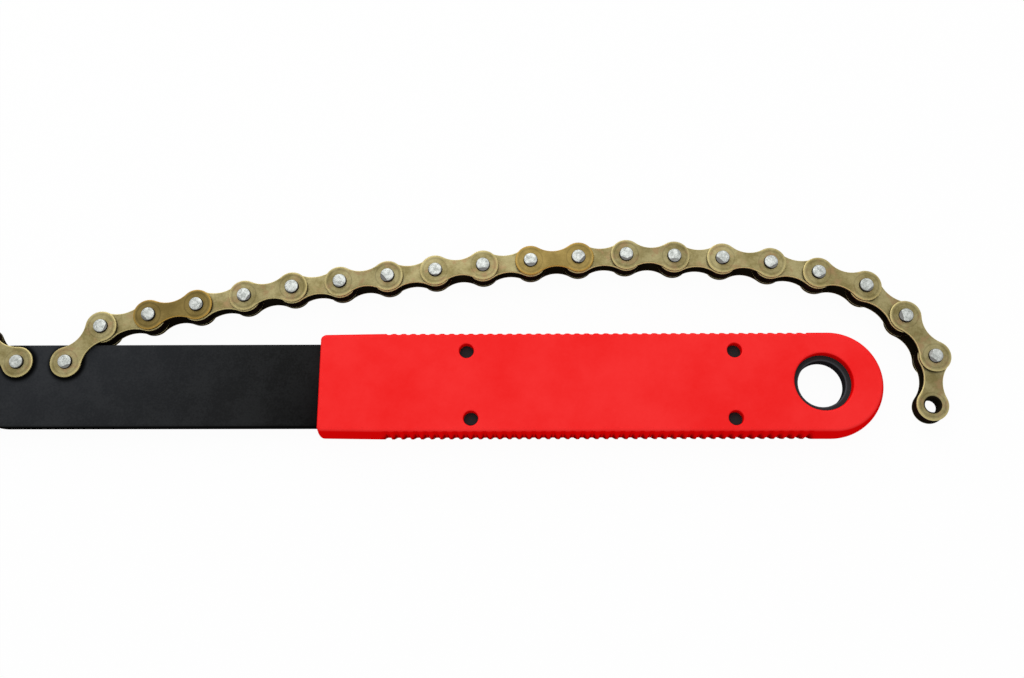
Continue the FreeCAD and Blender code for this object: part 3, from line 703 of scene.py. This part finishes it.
innerPlate = {
    "lobe": 4.15,
    "waist": 2.4,
    "low": 1.2,
    "high": 2.2,
    "bore": 1.85,
    "flare": 0.70,                      # the mouth's widening
    "flareDepth": 0.85,
    "collar": 2.5,                      # outer radius of the drawn collar
    "collarEnd": 0.05,
    "collarEdge": 0.12,
    "collarFoot": 0.1,                  # fillet where the collar leaves the plate
    "rim": 0.26,
    "ledge": 0.12,
    "mouthLedge": 0.15,
}
holeSteps = 36                          # round a hole, a collar or a pin

# towards bronze up to one, and darker above one or below nought
linkTints = {3: 1.9, 5: -0.36, 7: -0.40, 11: 1.0, 13: -0.36, 17: 0.10}


def drawLink(bm, size):
    lobe, waist = size["lobe"], size["waist"]
    hollow = ((pitch / 2) ** 2 + waist ** 2 - lobe ** 2) / (2 * (lobe - waist))
    reach = waist + hollow
    angle = atan2(reach, pitch / 2)
    sweep = pi - 2 * angle
    first = bm.verts.new((lobe * cos(angle), lobe * sin(angle), 0))
    tip = penTurn(bm, first, 0, 0, 2 * pi - 2 * angle, 40)
    tip = penTurn(bm, tip, pitch / 2, -reach, -sweep, 10)
    tip = penTurn(bm, tip, pitch, 0, 2 * pi - 2 * angle, 40)
    penTurn(bm, tip, pitch / 2, reach, -sweep, 10)
    return closeOutline(bm)


def formOuterPlates():
    size = outerPlate
    bm = bmesh.new()
    cap = drawLink(bm, size)
    raiseWall(bm, cap, (size["high"] - size["low"]) / 2, quarterRound(size["rim"], 3), size["ledge"])
    bmesh.ops.translate(bm, verts=bm.verts[:], vec=(0, 0, (size["high"] + size["low"]) / 2))
    for x in (0, pitch):
        hole = holeProfile(size["hole"], size["high"], size["low"], size["lip"], size["holeLedge"])
        turnProfile(bm, hole, x, 0, holeSteps)
    closeFlat(bm, size["high"], 1)
    closeFlat(bm, size["low"], -1)
    bmesh.ops.mirror(bm, geom=bm.verts[:] + bm.edges[:] + bm.faces[:], merge_dist=-1, axis="Z")
    return template(bm, "outerPlates")


def formInnerPlates():
    size = innerPlate
    bore, high = size["bore"], size["high"]
    bm = bmesh.new()
    cap = drawLink(bm, size)
    raiseWall(bm, cap, (high - size["low"]) / 2, quarterRound(size["rim"], 3), size["ledge"])
    bmesh.ops.translate(bm, verts=bm.verts[:], vec=(0, 0, (high + size["low"]) / 2))
    flare = [0.5 * pi * step / 6 for step in range(7)]
    mouth = [(bore + size["flare"] * (1 - sin(a)), high - size["flareDepth"] * (1 - cos(a))) for a in flare]
    outer, end, edge, foot = size["collar"], size["collarEnd"], size["collarEdge"], size["collarFoot"]
    collar = [
        (bore, end + foot), (bore + foot, end), (outer - edge, end),
        (outer, end + edge), (outer, size["low"] - foot), (outer + foot, size["low"]),
    ]
    for x in (0, pitch):
        turnProfile(bm, [(mouth[0][0] + size["mouthLedge"], high)] + mouth + collar, x, 0, holeSteps)
    closeFlat(bm, high, 1)
    closeFlat(bm, size["low"], -1)
    bmesh.ops.mirror(bm, geom=bm.verts[:] + bm.edges[:] + bm.faces[:], merge_dist=-1, axis="Z")
    return template(bm, "innerPlates")


# rivet pins, each with its own flats where it was pressed over

pin = {
    "radius": 1.8,
    "half": 4.1,
    "bevel": 0.28,
    "dome": 0.04,
    "flatTilt": (24, 40),               # degrees, least and most
    "flatAway": (0.50, 0.85),           # from the axis, as a share of the radius
    "flatSide": (-150, -30),            # degrees from X, where a flat may look
    "sharp": 18,                        # degrees past which an edge stays sharp
}
chance = random.Random(12)


def pressFlat(bm, x, top):
    # one slanted flat across a pin's end
    side = radians(chance.uniform(*pin["flatSide"]))
    tilt = radians(chance.uniform(*pin["flatTilt"]))
    away = chance.uniform(*pin["flatAway"]) * pin["radius"]
    normal = Vector((cos(side) * sin(tilt), sin(side) * sin(tilt), top * cos(tilt)))
    point = Vector((x + cos(side) * away, sin(side) * away, top * pin["half"]))
    own = [vert for vert in bm.verts if abs(vert.co.x - x) < pin["radius"] * 1.5 and vert.co.z * top > 0]
    faces = {face for vert in own for face in vert.link_faces}
    edges = {edge for vert in own for edge in vert.link_edges}
    verts = {vert for face in faces for vert in face.verts}
    cut = bmesh.ops.bisect_plane(bm, geom=list(verts) + list(edges) + list(faces), dist=0.0001,
                                 plane_co=point, plane_no=normal, clear_outer=True)
    ring = [item for item in cut["geom_cut"] if isinstance(item, bmesh.types.BMEdge)]
    bmesh.ops.edgeloop_fill(bm, edges=ring)


def formPins(placed):
    # placed: the pins' distances along the link
    radius, half, bevel = pin["radius"], pin["half"], pin["bevel"]
    end = [(0, half), (radius * 0.5, half - pin["dome"] * 0.3), (radius - bevel - 0.08, half - pin["dome"])]
    end += [(radius - bevel * 0.5, half - bevel * 0.32), (radius - bevel * 0.1, half - bevel * 0.72)]
    profile = end + [(radius, half - bevel * 1.15), (radius, 0)]
    bm = bmesh.new()
    for x in placed:
        turnProfile(bm, profile, x, 0, holeSteps)
    bmesh.ops.mirror(bm, geom=bm.verts[:] + bm.edges[:] + bm.faces[:], merge_dist=near, axis="Z")
    bmesh.ops.remove_doubles(bm, verts=bm.verts[:], dist=near)
    for x in placed:
        for top in (1, -1):
            for flat in range(chance.choice((1, 1, 2))):
                pressFlat(bm, x, top)
    bmesh.ops.recalc_face_normals(bm, faces=bm.faces[:])
    return bm


# rollers

roller = {"radius": 3.875, "bore": 2.6, "half": 1.15, "corner": 0.22, "steps": 40}


def formRoller():
    radius, bore, half, corner = roller["radius"], roller["bore"], roller["half"], roller["corner"]
    profile = [
        (bore, 0), (bore, half - corner / 2), (bore + corner / 2, half), (radius - corner, half),
        (radius - corner * 0.3, half - corner * 0.3), (radius, half - corner), (radius, 0),
    ]
    bm = bmesh.new()
    turnProfile(bm, profile, 0, 0, roller["steps"])
    bmesh.ops.mirror(bm, geom=bm.verts[:] + bm.edges[:] + bm.faces[:], merge_dist=near, axis="Z")
    return template(bm, "roller")


def fromTemplate(mesh):
    bm = bmesh.new()
    bm.from_mesh(mesh)
    return bm


outerNodes = {
    # the nodes of a link's outer plates and of its pins, which the short chain has in one
    "long": ("long_outer_plates_", "long_pins_"),
    "short": ("short_outer_link_", "short_outer_link_"),
}


def layChain(chain, forms):
    places = chains[chain]
    for link in range(1, len(places)):
        start, end = places[link - 1], places[link]
        turn = atan2(end.y - start.y, end.x - start.x)
        tag = "%02d" % link
        tint = linkTints.get(link, 0.0) if chain == "long" else 0.0
        if link % 2 == 0:
            setDown(fromTemplate(forms["inner"]), chain + "InnerPlates" + tag,
                    ["%s_inner_plates_%s" % (chain, tag)], "platedSteel", start, turn)
            for number, place in ((link, start), (link + 1, end)):
                setDown(fromTemplate(forms["roller"]), "%sRoller%02d" % (chain, number),
                        ["%s_roller_%02d" % (chain, number)], "rollerSteel", place)
        else:
            platesNode, pinsNode = outerNodes[chain]
            setDown(fromTemplate(forms["outer"]), chain + "OuterPlates" + tag, [platesNode + tag],
                    "platedSteel", start, turn, tint)
            setDown(formPins((0, pitch)), chain + "Pins" + tag, [pinsNode + tag], "pinSteel", start, turn,
                    sharp=pin["sharp"])


forms = {"outer": formOuterPlates(), "inner": formInnerPlates(), "roller": formRoller()}
layChain("long", forms)
layChain("short", forms)
print("both chains are laid")


# bar

bar = {
    "edge": 0.4,
    "hangHole": 6.05,
    "hangBevel": 0.6,
    "hangSteps": 96,
    "rivetBore": 1.85,
    "rivetLip": 0.1,
    "rivetSteps": 32,
    "ledge": 0.25,                      # flat strip inside the edge, and round the hang hole and the rivets
    "hangLedge": 0.15,
    "rivetLedge": 0.1,
}


def boxOf(cadNode):
    low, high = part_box(cadNode)
    return low / mm, high / mm


def drawStrip(bm, left, right, half, steps=64):
    # two straight edges between two full rounds
    first = bm.verts.new((left + half, half, 0))
    tip = penTurn(bm, first, left + half, 0, pi, steps)
    tip = penLine(bm, tip, right - half, -half)
    tip = penTurn(bm, tip, right - half, 0, pi, steps)
    penLine(bm, tip, left + half, half)
    return closeOutline(bm)


def makeBar():
    low, high = boxOf("bar")
    bm = bmesh.new()
    cap = drawStrip(bm, low.x, high.x, high.y)
    raiseWall(bm, cap, high.z, quarterRound(bar["edge"], 3), bar["ledge"])
    hang = holeProfile(bar["hangHole"], high.z, low.z, bar["hangBevel"], bar["hangLedge"], 4)
    turnProfile(bm, hang, 0, 0, bar["hangSteps"])
    bore = holeProfile(bar["rivetBore"], high.z, low.z, bar["rivetLip"], bar["rivetLedge"])
    for rivet in (chains["long"][0], chains["short"][0]):
        turnProfile(bm, bore, rivet.x, rivet.y, bar["rivetSteps"])
    closeFlat(bm, high.z, 1)
    closeFlat(bm, low.z, -1)
    bmesh.ops.remove_doubles(bm, verts=bm.verts[:], dist=near)
    bmesh.ops.recalc_face_normals(bm, faces=bm.faces[:])
    return setDown(bm, "steelBar", ["bar"], "blackSteel")


# grip

grip = {
    "frontHalf": 13.6,                  # half width at the open end
    "taper": 17.5,
    "bulge": 1.1,                       # how far the sides stand out at mid height
    "faceEdge": 0.8,                    # rounding along the flat faces
    "frontEdge": 0.55,
    "frontCorner": 1.3,
    "mouth": 7.5,
    "mouthLip": 0.45,
    "mark": 1.9,
    "markLip": 0.3,
    "markFloor": 1.0,                   # within the bar's seat, so it only shows past the bar's edge
    "marks": ((-91.35, 8.35), (-90.05, -9.4), (-22.35, 8.35), (-22.8, -9.4)),
    "notchPitch": 2.5,
    "notchCore": 0.3,                   # half the width at a notch's foot, and half of its whole width
    "notchReach": 1.15,
    "notchDepth": 1.1,
    "notchCount": 44,
    "notchLast": -4.0,
    "cutsPerNotch": 10,
    "ledge": 0.4,                       # flat strip inside the edge, and round the mouth and the marks
    "mouthLedge": 0.3,
    "markLedge": 0.15,
    "roundSteps": 96,
    "markSteps": 40,
    "sharp": 50,                        # degrees past which an edge stays sharp
}


def gripProfile(height):
    # in and up, along the bulging side and over the rounded edge of the flat face
    bulge, edge = grip["bulge"], grip["faceEdge"]
    side = (height ** 2 + bulge ** 2) / (2 * bulge)
    cornerIn = side - sqrt((side - edge) ** 2 - (height - edge) ** 2)
    lift = atan2(height - edge, side - cornerIn)
    profile = [(side * (1 - cos(lift * step / 8)), side * sin(lift * step / 8)) for step in range(9)]
    for step in range(1, 6):
        angle = lift + (0.5 * pi - lift) * step / 5
        profile.append((cornerIn - edge * cos(angle), height - edge + edge * sin(angle)))
    return profile


def drawGrip(bm, front, back, half):
    frontHalf, corner, taper = grip["frontHalf"], grip["frontCorner"], grip["taper"]
    run = back - half
    full = front + taper
    steps = round((run - full) / grip["notchPitch"] * grip["cutsPerNotch"])
    first = bm.verts.new((front, frontHalf - corner, 0))
    tip = penLine(bm, first, front, corner - frontHalf, 20)
    tip = penTurn(bm, tip, front + corner, corner - frontHalf, 0.5 * pi, 8)
    tip = penLine(bm, tip, full, -half, 24)
    tip = penLine(bm, tip, run, -half, steps)
    tip = penTurn(bm, tip, run, 0, pi, grip["roundSteps"])
    tip = penLine(bm, tip, full, half, steps)
    tip = penLine(bm, tip, front + corner, frontHalf, 24)
    penTurn(bm, tip, front + corner, frontHalf - corner, 0.5 * pi, 8)
    bmesh.ops.remove_doubles(bm, verts=bm.verts[:], dist=near)


def squeezeRing(bm, verts, front, run, share, frontShare):
    # brings a ring in: the sides towards the middle line, the round end towards its centre, the front back
    ahead = [vert for vert in verts if vert.co.x < front + grip["taper"] - near]
    around = [vert for vert in verts if vert.co.x > run + near]
    straight = [vert for vert in verts if vert.co.x <= run + near]
    bmesh.ops.scale(bm, vec=(share, share, 1), space=Matrix.Translation((-run, 0, 0)), verts=around)
    bmesh.ops.scale(bm, vec=(1, share, 1), verts=straight)
    bmesh.ops.scale(bm, vec=(frontShare, 1, 1), space=Matrix.Translation((-front - grip["taper"], 0, 0)),
                    verts=ahead)


def raiseGrip(bm, front, back, half, height):
    # rings from mid height up to the flat face, each a little further in
    profile, ledge = gripProfile(height), grip["ledge"]
    profile.append((profile[-1][0] + ledge, height))
    run, edge, taper = back - half, grip["frontEdge"], grip["taper"]
    ring = bm.edges[:]
    last = (0.0, 0.0, 0.0)
    for inward, up in profile[1:]:
        over = max(0.0, up - (height - edge))
        ahead = edge - sqrt(max(0.0, edge ** 2 - over ** 2)) + (ledge if inward == profile[-1][0] else 0)
        raised = bmesh.ops.extrude_edge_only(bm, edges=ring)["geom"]
        ring = [item for item in raised if isinstance(item, bmesh.types.BMEdge)]
        verts = [item for item in raised if isinstance(item, bmesh.types.BMVert)]
        ring = [side for side in ring if all(vert in verts for vert in side.verts)]
        bmesh.ops.translate(bm, verts=verts, vec=(0, 0, up - verts[0].co.z))
        squeezeRing(bm, verts, front, run, (half - inward) / (half - last[0]),
                    (taper - ahead) / (taper - last[2]))
        last = (inward, up, ahead)
    bmesh.ops.mirror(bm, geom=bm.verts[:] + bm.edges[:] + bm.faces[:], merge_dist=near, axis="Z")


def cutNotches(bm, half):
    # each notch is an upright groove, so it is deepest at mid height and runs out towards the faces
    step, last = grip["notchPitch"], grip["notchLast"]
    core, reach = grip["notchCore"], grip["notchReach"]
    first = last - step * (grip["notchCount"] - 1)
    for vert in bm.verts:
        if first - step / 2 < vert.co.x < last + step / 2:
            off = abs((vert.co.x - last + step / 2) % step - step / 2)
            rise = max(0.0, min(1.0, (off - core) / (reach - core)))
            limit = half - grip["notchDepth"] * (1 - rise * rise * (3 - 2 * rise))
            if abs(vert.co.y) > limit:
                vert.co.y = limit if vert.co.y > 0 else -limit


def hollowForBar(piece):
    # the bar's seat, open at the front
    bm = bmesh.new()
    barLow, barHigh = boxOf("bar")
    drawStrip(bm, barLow.x, barHigh.x, barHigh.y)
    cap = bm.faces[:][0]
    bmesh.ops.translate(bm, verts=cap.verts[:], vec=(0, 0, barLow.z))
    raised = bmesh.ops.extrude_face_region(bm, geom=[cap], use_keep_orig=True)["geom"]
    top = [item for item in raised if isinstance(item, bmesh.types.BMVert)]
    bmesh.ops.translate(bm, verts=top, vec=(0, 0, barHigh.z - barLow.z))
    bmesh.ops.recalc_face_normals(bm, faces=bm.faces[:])
    bmesh.ops.scale(bm, vec=(mm, mm, mm), verts=bm.verts[:])
    mesh = bpy.data.meshes.new("barSeat")
    bm.to_mesh(mesh)
    bm.free()
    cutter = bpy.data.objects.new("barSeat", mesh)
    bpy.context.scene.collection.objects.link(cutter)
    cut = piece.modifiers.new("barSeat", "BOOLEAN")
    cut.operation = "DIFFERENCE"
    cut.solver = "EXACT"
    cut.object = cutter
    bpy.context.view_layer.update()
    shaped = bpy.data.meshes.new_from_object(piece.evaluated_get(bpy.context.evaluated_depsgraph_get()))
    piece.modifiers.clear()
    bpy.data.objects.remove(cutter)
    piece.data = shaped
    shaped.set_sharp_from_angle(angle=radians(grip["sharp"]))


def makeGrip():
    low, high = boxOf("grip")
    height = high.z
    bm = bmesh.new()
    drawGrip(bm, low.x, high.x, high.y)
    raiseGrip(bm, low.x, high.x, high.y, height)
    cutNotches(bm, high.y)
    mouth = holeProfile(grip["mouth"], height, -height, grip["mouthLip"], grip["mouthLedge"], 4)
    turnProfile(bm, mouth, 0, 0, grip["roundSteps"])
    for x, y in grip["marks"]:
        for side in (1, -1):
            mark = wellProfile(grip["mark"], side * height, side * grip["markFloor"], grip["markLip"],
                               grip["markLedge"], 4)
            turnProfile(bm, mark, x, y, grip["markSteps"])
    closeFlat(bm, height, 1)
    closeFlat(bm, -height, -1)
    bmesh.ops.remove_doubles(bm, verts=bm.verts[:], dist=near)
    bmesh.ops.recalc_face_normals(bm, faces=bm.faces[:])
    piece = setDown(bm, "redGrip", ["grip"], "redPlastic")
    hollowForBar(piece)
    return piece


makeBar()
makeGrip()
print("bar and grip are made")
